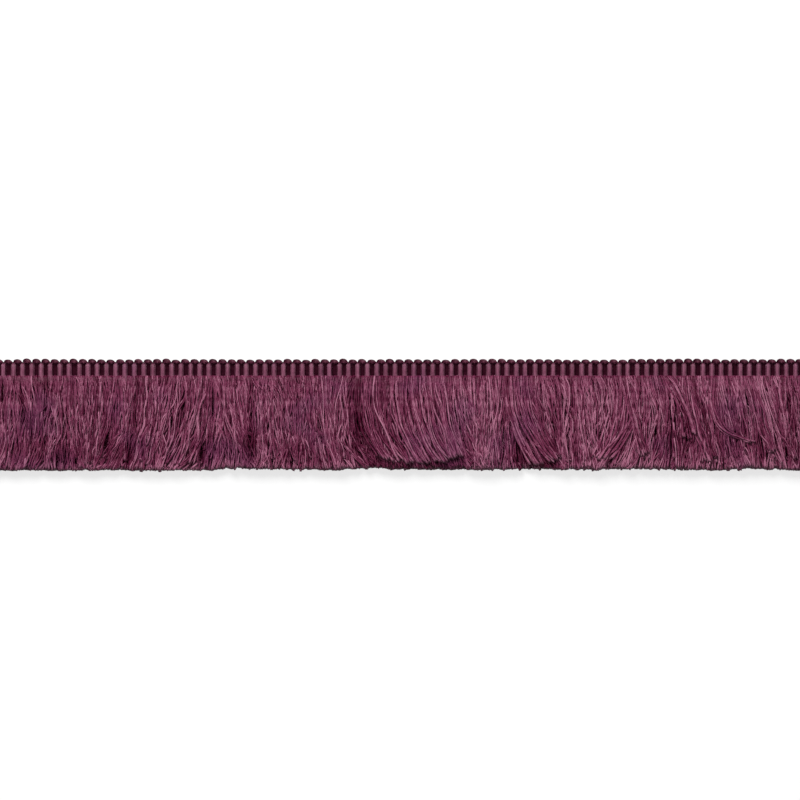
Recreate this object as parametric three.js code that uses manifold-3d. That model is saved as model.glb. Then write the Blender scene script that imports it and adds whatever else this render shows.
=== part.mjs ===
// Brush fringe trim: a ribbed heading with a looped top edge, and a skirt of cut yarn.
// A cut length lies face up. Sizes are millimetres. X runs along the trim, +Y points from the
// cut yarn ends to the loops, and +Z points up from the surface that the trim lies on.

import * as THREE from 'three';
import { mergeVertices } from 'three/addons/utils/BufferGeometryUtils.js';
import Module from 'manifold-3d';

// Driving sizes of the whole trim
const RIB_PITCH = 3.2;
const RIB_COUNT = 88;
const TRIM_WIDTH = 38;
const HEADING_WIDTH = 5.4;
const PIECE_GAP = 0.3;

// Woven heading: its ground, and one side of a rib's section above the ground
const GROUND_THICKNESS = 1.3;
const RIB_SECTION = [
  { halfWidth: 0.8, rise: 0 },
  { halfWidth: 0.62, rise: 0.7 },
  { halfWidth: 0.28, rise: 1.3 },
];

// Looped edge: one row of domes, one dome between each two ribs. A dome is cut through at each end
const LOOP_HEIGHT = 1.3;
const LOOP_NECK_HEIGHT = 0.34;
const LOOP_THICKNESS = 1.9;
const LOOP_NECK_THICKNESS = 1.1;
const LOOP_MIDDLE_Z = 1.25;
const LOOP_SLANT = 0.45;
const LOOP_ROUNDNESS = 0.6;
const LOOP_SIDES = 5;
const LOOP_STEPS = 4;
// On a five-sided section of radius 1: half of its width
const LOOP_SECTION_HALF = Math.sin(Math.PI * 2 / LOOP_SIDES);

// Skirt: a narrow root strip, and two rows of three-sided locks that grow out of it
const STRIP_WIDTH = 1.2;
const STRIP_HEIGHT = 2.6;
const STRIP_RAGGED = 0.3;
const LOCK_GAP = 0.34;
const LOCK_FAN = 1.5;
const LOCK_SIDES = 3;
// On a three-sided section of radius 1: its ridge, its flat underside, and half of its width
const SECTION_RIDGE = 1;
const SECTION_UNDER = -0.5;
const SECTION_HALF = Math.sqrt(0.75);
const BEND_POWER = 1.8;
const ROOT_OVERLAP = 0.6;

// perRib locks stand on each rib pitch, and inset is the first lock's place in steps of the row.
// sway is the row's share of the table below, and ragged is how much shorter the shortest lock is.
// Heights are those of a lock's flat underside and its ridge.
const BACK_ROW = {
  perRib: 1,
  inset: 0.5,
  steps: 3,
  sway: 0.35,
  ragged: 0.9,
  underAtRoot: 0.15,
  underAtTip: 0,
  ridgeAtRoot: 1.0,
  ridgeAtMiddle: 1.45,
  ridgeAtTip: 1.5,
};
const FRONT_ROW = {
  perRib: 2,
  inset: 1,
  steps: 4,
  sway: 1,
  ragged: 1.3,
  underAtRoot: 1.6,
  underAtTip: 2.1,
  ridgeAtRoot: 2.2,
  ridgeAtMiddle: 4.4,
  ridgeAtTip: 3.6,
};
const SWEPT_LIFT = 0.1;
const RIDGE_VARIATION = 0.16;
const STEP_TOLERANCE = 1e-6;
const UNEVEN_STEP = 12.9898;
const UNEVEN_SPREAD = 43758.5453;

// How far the tips have swung along the trim, by the place of their roots. Between two rows the
// swing changes evenly, but for the share that is eased.
const SWAY_EASE = 0.4;
const SWAY = [
  { x: -140.8, tip: 0 },
  { x: -131, tip: -1.8 },
  { x: -120, tip: -2.0 },
  { x: -111, tip: 0 },
  { x: -97, tip: -5.4 },
  { x: -88, tip: -3.8 },
  { x: -79, tip: -5.6 },
  { x: -67, tip: -4.2 },
  { x: -59, tip: 3.6 },
  { x: -49, tip: -0.4 },
  { x: -43, tip: 1.6 },
  { x: -35, tip: 0 },
  { x: -27, tip: 3.6 },
  { x: -20, tip: 1.6 },
  { x: -13, tip: 8.6 },
  { x: -2, tip: 6.4 },
  { x: 10, tip: 9.0 },
  { x: 20, tip: 5.2 },
  { x: 32, tip: -0.4 },
  { x: 37, tip: 1.2 },
  { x: 42, tip: 9.6 },
  { x: 49, tip: 7.0 },
  { x: 60, tip: 1.8 },
  { x: 73, tip: -4.2 },
  { x: 81, tip: -0.8 },
  { x: 97, tip: 4.0 },
  { x: 111, tip: 7.0 },
  { x: 122, tip: 6.6 },
  { x: 133, tip: 1.8 },
  { x: 140.8, tip: 0 },
];

const TRIM_LENGTH = RIB_PITCH * RIB_COUNT;
const LOOPS_TOP_Y = TRIM_WIDTH / 2;
const LOOPS_FOOT_Y = LOOPS_TOP_Y - LOOP_HEIGHT;
const HEADING_TOP_Y = LOOPS_FOOT_Y - PIECE_GAP;
const HEADING_FOOT_Y = LOOPS_TOP_Y - HEADING_WIDTH;
const STRIP_TOP_Y = HEADING_FOOT_Y - PIECE_GAP;
const STRIP_FOOT_Y = STRIP_TOP_Y - STRIP_WIDTH;
const LOCK_ROOT_Y = STRIP_FOOT_Y + ROOT_OVERLAP;
const LOCK_LENGTH = LOCK_ROOT_Y + TRIM_WIDTH / 2;

const wasm = await Module();
wasm.setup();

function positionsOnly(geometry) {
  geometry.deleteAttribute('normal');
  geometry.deleteAttribute('uv');
  return mergeVertices(geometry);
}

function toSolid(geometry) {
  const mesh = new wasm.Mesh({
    numProp: 3,
    vertProperties: Float32Array.from(geometry.attributes.position.array),
    triVerts: Uint32Array.from(geometry.index.array),
  });
  return new wasm.Manifold(mesh);
}

function fused(geometries) {
  const solid = geometries.map(toSolid).reduce((whole, piece) => whole.add(piece));
  const mesh = solid.getMesh();
  const geometry = new THREE.BufferGeometry();
  geometry.setAttribute('position', new THREE.BufferAttribute(mesh.vertProperties, 3));
  geometry.setIndex(new THREE.BufferAttribute(mesh.triVerts, 1));
  return geometry;
}

// A closed bar whose points place() sets. along runs from 0 to 1 over the bar's length, and
// across and up are a point's own place on a section of radius 1.
function placedBar(sides, steps, place) {
  const bar = new THREE.CylinderGeometry(1, 1, 1, sides, steps);
  const points = bar.attributes.position;
  for (let i = 0; i < points.count; i += 1) {
    const spot = place(0.5 - points.getY(i), points.getX(i), points.getZ(i));
    points.setXYZ(i, spot.x, spot.y, spot.z);
  }
  return positionsOnly(bar);
}

// A value from 0 to 1 that jumps about from one count to the next, and is the same on each run
function uneven(count) {
  const wave = Math.sin(count * UNEVEN_STEP) * UNEVEN_SPREAD;
  return wave - Math.floor(wave);
}

// The tips' swing at x, eased from one row of the table to the next
function swayAt(x) {
  const last = SWAY.length - 1;
  const next = Math.min(Math.max(SWAY.findIndex((row) => row.x > x), 1), last);
  const from = SWAY[next - 1];
  const to = SWAY[next];
  const part = THREE.MathUtils.clamp((x - from.x) / (to.x - from.x), 0, 1);
  const smooth = THREE.MathUtils.smoothstep(part, 0, 1);
  const eased = THREE.MathUtils.lerp(part, smooth, SWAY_EASE);
  return THREE.MathUtils.lerp(from.tip, to.tip, eased);
}

function ribbedHeading() {
  const left = -TRIM_LENGTH / 2;
  const outline = new THREE.Shape();
  outline.moveTo(left, 0);
  outline.lineTo(-left, 0);
  outline.lineTo(-left, GROUND_THICKNESS);
  for (let rib = RIB_COUNT - 1; rib >= 0; rib -= 1) {
    const middle = left + (rib + 0.5) * RIB_PITCH;
    for (const { halfWidth, rise } of RIB_SECTION) {
      outline.lineTo(middle + halfWidth, GROUND_THICKNESS + rise);
    }
    for (const { halfWidth, rise } of RIB_SECTION.toReversed()) {
      outline.lineTo(middle - halfWidth, GROUND_THICKNESS + rise);
    }
  }
  outline.lineTo(left, GROUND_THICKNESS);
  outline.closePath();
  const depth = HEADING_TOP_Y - HEADING_FOOT_Y;
  const heading = new THREE.ExtrudeGeometry(outline, { depth, bevelEnabled: false });
  heading.rotateX(Math.PI / 2);
  heading.translate(0, HEADING_TOP_Y, 0);
  return positionsOnly(heading);
}

function loopedEdge() {
  const place = (along, across, up) => {
    const dome = Math.pow(Math.abs(Math.cos(along * RIB_COUNT * Math.PI)), LOOP_ROUNDNESS);
    const height = THREE.MathUtils.lerp(LOOP_NECK_HEIGHT, LOOP_HEIGHT, dome);
    const thickness = THREE.MathUtils.lerp(LOOP_NECK_THICKNESS, LOOP_THICKNESS, dome);
    const rise = height * (across / LOOP_SECTION_HALF + 1) / 2;
    const isEnd = along < STEP_TOLERANCE || along > 1 - STEP_TOLERANCE;
    const slant = isEnd ? 0 : LOOP_SLANT * (rise / LOOP_HEIGHT - 0.5);
    return new THREE.Vector3(
      (along - 0.5) * TRIM_LENGTH - slant,
      LOOPS_FOOT_Y + rise,
      LOOP_MIDDLE_Z + up * thickness / 2,
    );
  };
  return placedBar(LOOP_SIDES, RIB_COUNT * LOOP_STEPS, place);
}

// One lock of yarn, from inside the root strip to its cut tip. It bends more towards the tip,
// keeps its length, and is as wide as its share of the row leaves it.
function lock(row, count) {
  const pitch = RIB_PITCH / row.perRib;
  const rootX = -TRIM_LENGTH / 2 + (count + row.inset) * pitch;
  const swing = row.sway * swayAt(rootX);
  const neighbours = swayAt(rootX + pitch / 2) - swayAt(rootX - pitch / 2);
  const spread = row.sway * neighbours / pitch;
  const lean = swing * BEND_POWER / LOCK_LENGTH;
  const cut = 1 - row.ragged * uneven(count + row.perRib) / LOCK_LENGTH;
  const fullness = 1 + RIDGE_VARIATION * (uneven(2 * count + row.perRib) - 0.5);
  const puff = row.ridgeAtMiddle - (row.ridgeAtRoot + row.ridgeAtTip) / 2;
  const lossPower = 2 * BEND_POWER - 1;
  return placedBar(LOCK_SIDES, row.steps, (along, across, up) => {
    const reach = cut * along;
    const bend = Math.pow(reach, BEND_POWER);
    const slope = lean * Math.pow(reach, BEND_POWER - 1);
    const lost = lean * lean * Math.pow(reach, lossPower) / (2 * lossPower);
    const fan = THREE.MathUtils.clamp(1 + spread * bend, LOCK_GAP, LOCK_FAN);
    const width = pitch * fan / Math.hypot(1, slope) - LOCK_GAP;
    const under = THREE.MathUtils.lerp(row.underAtRoot, row.underAtTip, along);
    const straight = THREE.MathUtils.lerp(row.ridgeAtRoot, row.ridgeAtTip, along);
    const lift = SWEPT_LIFT * row.sway * Math.abs(swing) * bend;
    const ridge = fullness * (straight + puff * Math.sin(along * Math.PI) + lift);
    const rise = (up - SECTION_UNDER) / (SECTION_RIDGE - SECTION_UNDER);
    return new THREE.Vector3(
      rootX + swing * bend + across / SECTION_HALF * width / 2,
      LOCK_ROOT_Y - LOCK_LENGTH * (reach - lost),
      THREE.MathUtils.lerp(under, ridge, rise),
    );
  });
}

// The narrow strip that holds the locks' roots. Its lower edge is uneven, in facets that meet
// between two locks of the front row.
function rootStrip() {
  const strip = new THREE.BoxGeometry(TRIM_LENGTH, STRIP_WIDTH, STRIP_HEIGHT, RIB_COUNT);
  strip.translate(0, (STRIP_TOP_Y + STRIP_FOOT_Y) / 2, STRIP_HEIGHT / 2);
  const points = strip.attributes.position;
  for (let i = 0; i < points.count; i += 1) {
    const rib = Math.round(points.getX(i) / RIB_PITCH + RIB_COUNT / 2);
    if (rib > 0 && rib < RIB_COUNT) {
      points.setX(i, points.getX(i) + RIB_PITCH / 4);
    }
    if (points.getY(i) < STRIP_TOP_Y - STRIP_WIDTH / 2) {
      points.setY(i, STRIP_FOOT_Y + STRIP_RAGGED * uneven(rib));
    }
  }
  return positionsOnly(strip);
}

function skirt() {
  const pieces = [rootStrip()];
  for (const row of [BACK_ROW, FRONT_ROW]) {
    const total = RIB_COUNT * row.perRib - 2 * row.inset + 1;
    for (let count = 0; count < total; count += 1) {
      pieces.push(lock(row, count));
    }
  }
  return fused(pieces);
}

function namedPiece(name, geometry, color, roughness) {
  geometry.computeVertexNormals();
  const material = new THREE.MeshStandardMaterial({ color, roughness, metalness: 0 });
  const piece = new THREE.Mesh(geometry, material);
  piece.name = name;
  return piece;
}

const trim = new THREE.Group();
trim.add(namedPiece('heading', ribbedHeading(), '#6b3a4e', 0.5));
trim.add(namedPiece('loop_edge', loopedEdge(), '#4a2231', 0.5));
trim.add(namedPiece('skirt', skirt(), '#6a384c', 0.6));

export default trim;
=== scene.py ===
import math

import bmesh
import bpy
import numpy as np
from mathutils import Matrix, Vector


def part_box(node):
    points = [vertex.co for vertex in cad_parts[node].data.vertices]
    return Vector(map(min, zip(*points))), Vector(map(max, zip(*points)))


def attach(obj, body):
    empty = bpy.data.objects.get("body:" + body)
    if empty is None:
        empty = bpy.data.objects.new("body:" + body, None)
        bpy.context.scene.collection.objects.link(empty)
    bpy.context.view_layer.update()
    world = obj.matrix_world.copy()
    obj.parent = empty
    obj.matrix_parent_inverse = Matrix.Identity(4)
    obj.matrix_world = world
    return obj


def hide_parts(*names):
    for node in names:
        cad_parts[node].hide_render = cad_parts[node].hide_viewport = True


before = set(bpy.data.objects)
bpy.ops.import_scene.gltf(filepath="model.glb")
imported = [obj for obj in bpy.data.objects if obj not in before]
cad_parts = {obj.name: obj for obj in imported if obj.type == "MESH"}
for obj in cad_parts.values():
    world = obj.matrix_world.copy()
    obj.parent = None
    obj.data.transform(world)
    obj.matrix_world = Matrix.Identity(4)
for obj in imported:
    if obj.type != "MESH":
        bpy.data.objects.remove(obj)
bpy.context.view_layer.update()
mm = 0.001

# Everything below is worked out in millimetres and turned into metres when a mesh is made
headingLow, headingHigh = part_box("heading")
trim = {
    "ribPitch": 3.2,
    "end": headingHigh.x / mm,  # half of the cut length
    "headingTop": headingHigh.y / mm,
    "headingFoot": headingLow.y / mm,
    "ribTop": headingHigh.z / mm,
}
ribCount = round(2 * trim["end"] / trim["ribPitch"])

# Seeds of all the random draws; another number gives another trim of the same kind
seeds = {
    "layers": 10,
    "layerYarns": 30,
    "layerSwing": 50,
    "swell": 7,
    "swept": 81,
    "stray": 82,
    "looseYarns": 90,
    "ribs": 3,
    "ribSwing": 91,
    "ribWave": 92,
    "loops": 5,
    "loopTops": 5,
}

# Camera straight above the trim, as far off as the photograph's flat look asks
view = {
    "width": 275.1,  # stretch of the trim that fills the frame
    "middleY": 5.07,
    "distance": 1700.0,
    "sensor": 36.0,
    "farthest": 10,  # in metres
}
cameraData = bpy.data.cameras.new("camera")
cameraData.sensor_width = view["sensor"]
cameraData.lens = view["sensor"] * view["distance"] / view["width"]
cameraData.clip_end = view["farthest"]
camera = bpy.data.objects.new("camera", cameraData)
camera.location = Vector((0, view["middleY"], view["distance"])) * mm
bpy.context.collection.objects.link(camera)
bpy.context.scene.camera = camera

studio = {
    "worldStrength": 0.42,
    "keyPower": 23.4,
    "keySize": 0.68,
    "keyPlace": (-0.30, 0.82, 0.92),
    "floorColour": (0.26, 0.26, 0.26, 1),
    "floorRoughness": 0.9,
    "floorGlow": 0.70,
    "floorSize": 4.0,
}
world = bpy.data.worlds.new("studio")
world.use_nodes = True
world.node_tree.nodes["Background"].inputs["Color"].default_value = (1, 1, 1, 1)
world.node_tree.nodes["Background"].inputs["Strength"].default_value = studio["worldStrength"]
bpy.context.scene.world = world
bpy.context.scene.view_settings.view_transform = "Standard"
keyData = bpy.data.lights.new("key", "AREA")
keyData.energy = studio["keyPower"]
keyData.size = studio["keySize"]
keyLight = bpy.data.objects.new("key", keyData)
keyLight.location = studio["keyPlace"]
keyLight.rotation_euler = (-keyLight.location).to_track_quat("-Z", "Y").to_euler()
bpy.context.collection.objects.link(keyLight)
print("camera and lights are set")


# A shader socket that takes part in sums, and makes the nodes of its material
class Wire:
    def __init__(self, tree, socket=None):
        self.tree = tree
        self.socket = socket

    def make(self, kind, settings=None, links=None, out=0):
        node = self.tree.nodes.new(kind)
        for name, value in (settings or {}).items():
            if name == "stops":
                while len(node.color_ramp.elements) < len(value):
                    node.color_ramp.elements.new(0.5)
                for element, (place, colour) in zip(node.color_ramp.elements, value):
                    element.position = place
                    element.color = (*colour, 1)
            else:
                setattr(node, name, value)
        for name, value in (links or {}).items():
            if isinstance(value, Wire):
                self.tree.links.new(value.socket, node.inputs[name])
            else:
                node.inputs[name].default_value = value
        return Wire(self.tree, node.outputs[out])

    def math(self, operation, first, second=0.0):
        return self.make("ShaderNodeMath", {"operation": operation}, {0: first, 1: second})

    def __add__(self, other):
        return self.math("ADD", self, other)

    def __sub__(self, other):
        return self.math("SUBTRACT", self, other)

    def __rsub__(self, other):
        return self.math("SUBTRACT", other, self)

    def __mul__(self, other):
        return self.math("MULTIPLY", self, other)

    def __truediv__(self, other):
        return self.math("DIVIDE", self, other)

    __radd__ = __add__
    __rmul__ = __mul__

    def between(self, low, high):
        mapped = {"Value": self, "From Min": low, "From Max": high}
        return self.make("ShaderNodeMapRange", {"interpolation_type": "SMOOTHSTEP"}, mapped)

    def ramp(self, stops):
        return self.make("ShaderNodeValToRGB", {"stops": stops}, {"Fac": self})

    def mixed(self, share, other, blend="MIX"):
        node = self.make("ShaderNodeMix", {"data_type": "RGBA", "blend_type": blend}, {0: share})
        mixNode = node.socket.node
        self.tree.links.new(self.socket, mixNode.inputs[6])
        if isinstance(other, Wire):
            self.tree.links.new(other.socket, mixNode.inputs[7])
        else:
            mixNode.inputs[7].default_value = (*other, 1)
        return Wire(self.tree, mixNode.outputs[2])

    def attribute(self, name):
        return self.make("ShaderNodeAttribute", {"attribute_name": name}, out=2)

    def bumped(self, strength, depth):
        pressed = {"Strength": strength, "Distance": depth, "Height": self}
        return self.make("ShaderNodeBump", {}, pressed)


def newMaterial(name, finish):
    material = bpy.data.materials.new(name)
    material.use_nodes = True
    shader = material.node_tree.nodes["Principled BSDF"]
    shader.inputs["Roughness"].default_value = finish["roughness"]
    shader.inputs["Specular IOR Level"].default_value = finish["specular"]
    return material, shader, Wire(material.node_tree)


def plug(wire, shader, name):
    wire.tree.links.new(wire.socket, shader.inputs[name])


# Cut or satin yarn: each strand has its own shade attribute, which holds random tone as well as
# painted light and shade. It is plied with a twist whose grooves get painted shade, and it is
# painted darker towards its cut end as painted shade.
def yarnMaterial(name, finish):
    material, shader, wire = newMaterial(name, finish)
    shade = wire.attribute("shade")
    along = wire.attribute("along")
    place = wire.make("ShaderNodeTexCoord", out="Object")
    uv = wire.make("ShaderNodeUVMap", {"uv_map": "twist"})
    split = wire.make("ShaderNodeSeparateXYZ", {}, {0: uv})
    down = Wire(wire.tree, split.socket.node.outputs[1])
    apart = shade * finish["strandsApart"]
    strand = wire.make("ShaderNodeCombineXYZ", {}, {0: down * finish["glints"], 1: apart})
    flat = {"noise_dimensions": "2D"}
    # painted glints: lighter and darker stretches along each strand, on top of random tone
    paintedGlints = wire.make("ShaderNodeTexNoise", flat, {"Vector": strand, "Scale": 1.0})
    colour = (shade + (paintedGlints - 0.5) * finish["paintedGlints"]).ramp(finish["stops"])
    spotted = {"Vector": place, "Scale": finish["patchScale"], "Detail": 1.0}
    patches = wire.make("ShaderNodeTexNoise", {}, spotted).between(*finish["patchEdge"])
    colour = colour.mixed(patches * finish["patchShare"], finish["patchColour"])
    # painted shade: each yarn darkens over its last stretch up to its cut end
    cutEnd = along.between(finish["cutStart"], 1.0) * finish["cutEndPaintedShade"]
    colour = colour.mixed(cutEnd, finish["paintedShadeColour"])
    # painted shade in the grooves of the twist, beside the bump
    ply = wire.math("SINE", (split + down) * (2 * math.pi))
    colour = colour.mixed((0.5 - ply * 0.5) * finish["plyPaintedShade"], finish["paintedShadeColour"])
    plug(colour, shader, "Base Color")
    plug(ply.bumped(finish["plyStrength"], finish["plyDepth"] * mm), shader, "Normal")
    return material


skirtFinish = {
    "roughness": 0.42,
    "specular": 0.14,
    # painted glints: noise along each strand paints lighter and darker stretches, on top of random
    # tone
    "paintedGlints": 0.80,
    "glints": 1.2,  # lighter and darker stretches of a strand for each turn of its twist
    "strandsApart": 40.0,  # how little the stretches of one strand follow those of the next
    "stops": [
        (0.0, (0.061, 0.003, 0.019)),
        (0.5, (0.159, 0.0285, 0.070)),
        (1.0, (0.335, 0.124, 0.194)),
    ],
    "cutStart": 0.98,
    "cutEndPaintedShade": 0.78,
    "patchColour": (0.105, 0.026, 0.078),
    "patchShare": 0.35,
    "patchScale": 75.0,
    "patchEdge": (0.5, 0.75),
    "paintedShadeColour": (0.020, 0.003, 0.008),
    "plyPaintedShade": 0.15,
    "plyStrength": 0.5,
    "plyDepth": 0.05,
}
ribFinish = dict(
    skirtFinish,
    specular=0.35,
    paintedGlints=0.5,
    plyPaintedShade=0.12,
    stops=[
        (0.0, (0.050, 0.008, 0.018)),
        (0.5, (0.160, 0.042, 0.080)),
        (1.0, (0.290, 0.100, 0.165)),
    ],
)
loopFinish = dict(
    skirtFinish,
    patchShare=0.0,
    stops=[
        (0.0, (0.016, 0.0015, 0.005)),
        (0.5, (0.048, 0.007, 0.017)),
        (1.0, (0.120, 0.028, 0.052)),
    ],
)


# One strand modelled round Z, from its root at the top to its tip, ready to be repeated
def strandTemplate(sides, steps):
    pattern = bmesh.new()
    bmesh.ops.create_cone(
        pattern, segments=sides, radius1=1, radius2=1, depth=1, cap_ends=True, cap_tris=False
    )
    for step in range(1, steps):
        everything = pattern.verts[:] + pattern.edges[:] + pattern.faces[:]
        height = 0.5 - step / steps
        bmesh.ops.bisect_plane(
            pattern, geom=everything, dist=1e-6, plane_co=(0, 0, height), plane_no=(0, 0, 1)
        )
    bmesh.ops.recalc_face_normals(pattern, faces=pattern.faces[:])
    pattern.verts.index_update()
    template = {
        "across": np.array([[v.co.x, v.co.y] for v in pattern.verts]),
        "station": np.array([round((0.5 - v.co.z) * steps) for v in pattern.verts]),
        "corners": [],
        "sizes": [],
        "round": [],
        "caps": [],
    }
    for face in pattern.faces:
        turns = [math.atan2(v.co.y, v.co.x) / (2 * math.pi) % 1 for v in face.verts]
        isCap = len({template["station"][v.index] for v in face.verts}) == 1
        if not isCap and max(turns) - min(turns) > 0.5:
            turns = [turn + 1 if turn < 0.5 else turn for turn in turns]
        template["corners"] += [v.index for v in face.verts]
        template["sizes"].append(len(face.verts))
        template["caps"].append(isCap)
        template["round"] += turns
    pattern.free()
    return template


strandMap = {
    "turnLength": 2.6,  # of the twist
    "start": (0.3, 0.02),  # where a strand starts in its column of the map for baking
    "size": (0.2, 0.96),
}


# Repeats the modelled strand along each path. paths is strands x stations x 3, radii strands x
# stations like the shades, and flat is how much wider than high they are.
def strandMesh(name, paths, radii, shades, sides, material, flat=1.0):
    count, stations = paths.shape[:2]
    template = strandTemplate(sides, stations - 1)
    ahead = np.gradient(paths, axis=1)
    ahead /= np.linalg.norm(ahead, axis=2, keepdims=True)
    side = np.cross(ahead, (0.0, 0.0, 1.0))
    side /= np.linalg.norm(side, axis=2, keepdims=True)
    up = np.cross(side, ahead)
    station, across = template["station"], template["across"]
    reach = radii[:, station, None]
    spots = paths[:, station] + reach * (
        side[:, station] * across[None, :, :1] + up[:, station] * across[None, :, 1:] / flat
    )
    steps = np.linalg.norm(np.diff(paths, axis=1), axis=2)
    length = np.concatenate([np.zeros((count, 1)), np.cumsum(steps, axis=1)], axis=1)
    corners = np.array(template["corners"])
    sizes = np.array(template["sizes"])
    perStrand = len(station)
    mesh = bpy.data.meshes.new(name)
    mesh.vertices.add(count * perStrand)
    mesh.vertices.foreach_set("co", (spots * mm).astype(np.float32).ravel())
    mesh.loops.add(count * len(corners))
    offsets = np.arange(count)[:, None] * perStrand
    mesh.loops.foreach_set("vertex_index", (corners[None] + offsets).astype(np.int32).ravel())
    mesh.polygons.add(count * len(sizes))
    starts = np.concatenate([[0], np.cumsum(sizes)[:-1]])
    firsts = starts[None] + np.arange(count)[:, None] * len(corners)
    mesh.polygons.foreach_set("loop_start", firsts.astype(np.int32).ravel())
    mesh.polygons.foreach_set("use_smooth", np.tile(np.logical_not(template["caps"]), count))
    mesh.update(calc_edges=True)
    along = np.broadcast_to(station / (stations - 1), (count, perStrand))
    shade = shades[:, station]
    for label, values in (("shade", shade), ("along", along)):
        layer = mesh.attributes.new(label, "FLOAT", "POINT")
        layer.data.foreach_set("value", np.ascontiguousarray(values, np.float32).ravel())
    around = np.broadcast_to(np.array(template["round"]), (count, len(corners)))
    down = length[:, station[corners]] / strandMap["turnLength"]
    start, size = strandMap["start"], strandMap["size"]
    columns = (np.arange(count)[:, None] + start[0] + size[0] * around) / count
    rows = start[1] + size[1] * np.broadcast_to((station / (stations - 1))[corners], down.shape)
    for label, u, v in (("twist", around, down), ("OFBake", columns, rows)):
        layer = mesh.uv_layers.new(name=label)
        layer.uv.foreach_set("vector", np.stack([u, v], axis=2).astype(np.float32).ravel())
    mesh.materials.append(material)
    piece = bpy.data.objects.new(name, mesh)
    bpy.context.collection.objects.link(piece)
    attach(piece, "root")
    return piece


# A table's rows by the names of its columns
def table(columns, rows):
    return [dict(zip(columns.split(), row)) for row in rows]


# How the tips have swung along the trim by the place of their roots, how far the middles bow, by
# how much the face's cut ends stay above the hem there, and how much lower the hem itself hangs.
# Not set by hand: tip, bow and hem were fitted to the photograph by another program
sway = table("x tip bow above hem", [
    (-140.8, -1.1, 1.1, 0, 0.44),
    (-136, -1.8, 1.6, 0, 0.28),
    (-131, -2.2, 2.3, 0, 0.26),
    (-121, -4.6, 0.1, 0, 0.48),
    (-112, 3.3, 0.3, 0, 0.15),
    (-108, 1.2, 0.4, 0, 0),
    (-97, -8.9, 3.2, 0, 0.18),
    (-88, -2.0, 0.2, 0, 0.4),
    (-79, -7.1, -2.3, 0, 0.47),
    (-67, -6.7, 3.2, 0, 0.11),
    (-62, 4.4, 1.4, 0, 0),
    (-59, 9.6, 0.3, 0, -0.28),
    (-54, 3.8, -0.7, 0, -0.39),
    (-50, -1.7, 1.7, 0, -0.32),
    (-43, 4.9, 3.2, 0, 0.14),
    (-35, -1.5, 1.1, 0, -0.17),
    (-28, 7.0, 0.2, 0, 0.26),
    (-20, 0.4, -1.6, 0, 0.02),
    (-16, 8.7, -3.2, 0, -0.11),
    (-13, 11.3, -2.0, 0, -0.7),
    (-9, 7.9, -1.2, 0, -0.71),
    (-2, -0.6, -3.2, 0, -0.13),
    (5, 4.1, -1.2, 0, -0.23),
    (12, 8.3, -2.2, 0.6, 0.19),
    (20, 9.3, 0.7, 1, -0.16),
    (23, 3.9, 0.1, 0, -0.02),
    (31, -1.7, 0.7, 0, 0.11),
    (37, -1.7, -0.8, 0, -0.21),
    (40, 12.0, -1.7, 0, -0.21),
    (45, 12.0, -2.3, 0.4, -0.17),
    (49, 8.3, 0.7, 0, -0.1),
    (54, 4.2, 3.2, 0, -0.1),
    (64, 3.9, 0.7, 0, -0.16),
    (69, -4.8, 3.0, 0.4, 0.04),
    (74, -6.7, 3.2, 0.8, -0.12),
    (79, -3.0, 3.2, 0.6, -0.25),
    (85, -0.1, 3.2, 0, -0.13),
    (92, 1.3, 3.2, 0, -0.15),
    (100, 0.5, 2.9, 0, 0.11),
    (110, 6.9, 0.9, 0, 0.3),
    (116, 1.4, 2.5, 0, -0.04),
    (122, 9.1, 2.2, 0, -0.14),
    (129, 5.6, 3.2, 0, -0.22),
    (136, 3.8, 1.7, 0, 0.12),
    (140.8, 1.2, 1.4, 0, 0.1),
])


def fromTable(x, column):
    return np.interp(x, [row["x"] for row in sway], [row[column] for row in sway])


# Where the upper yarns have parted and the lower ones show: x of the gap, its width, and from
# where to where it reaches between the heading's foot (0) and the tips (1)
partings = table("x width from to", [
    (-136.5, 1.2, 0.02, 0.35),
    (-127.2, 1.6, 0.45, 0.75),
    (-117.6, 1.4, 0.80, 1.00),
    (-112.5, 1.1, 0.05, 0.38),
    (-111.1, 1.2, 0.75, 1.00),
    (-108.7, 1.1, 0.15, 0.50),
    (-100.8, 1.1, 0.42, 0.95),
    (-93.5, 1.0, 0.66, 1.00),
    (-78.4, 0.6, 0.35, 0.60),
    (-68.1, 1.1, 0.65, 1.00),
    (-64.3, 1.1, 0.07, 0.48),
    (-51.7, 3.8, 0.54, 0.94),
    (-37.1, 1.2, 0.76, 1.00),
    (-14.0, 2.6, 0.30, 0.88),
    (-7.2, 1.1, 0.07, 0.40),
    (3.1, 1.5, 0.02, 0.40),
    (40.4, 1.2, 0.80, 0.95),
    (53.0, 1.3, 0.35, 0.90),
    (77.7, 0.9, 0.12, 0.33),
    (93.6, 2.0, 0.16, 0.95),
    (98.7, 1.1, 0.53, 0.75),
    (115.9, 1.4, 0.48, 0.90),
    (119.3, 0.7, 0.16, 0.36),
    (132.7, 0.9, 0.62, 1.00),
])


# Eases from 0 to 1 while value grows from 0 to span
def eased(value, span):
    share = np.clip(value / span, 0, 1)
    return share * share * (3 - 2 * share)


parting = {
    "push": 0.4,  # as a share of the gap's width
    "fade": 1.2,  # how far away the push has faded
    "soft": 1.5,
}


# Pushes yarns aside at the partings, each to the side where it lies at the parting's middle, and
# says how far inside one they still are
def parted(x, reach, amount):
    inside = np.zeros_like(x)
    for row in partings:
        middle, half = (row["from"] + row["to"]) / 2, (row["to"] - row["from"]) / 2
        window = eased(parting["soft"] - parting["soft"] * np.abs(reach - middle) / half, 1)
        station = np.abs(reach - middle).argmin(axis=1)
        aside = np.take_along_axis(x, station[:, None], axis=1) - row["x"]
        fading = np.exp(-np.abs(aside) / parting["fade"])
        x = x + np.sign(aside) * parting["push"] * row["width"] * amount * window * fading
        inside = inside + window * np.exp(-(((x - row["x"]) / (0.5 * row["width"])) ** 2))
    return x, np.minimum(inside, 1)
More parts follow.
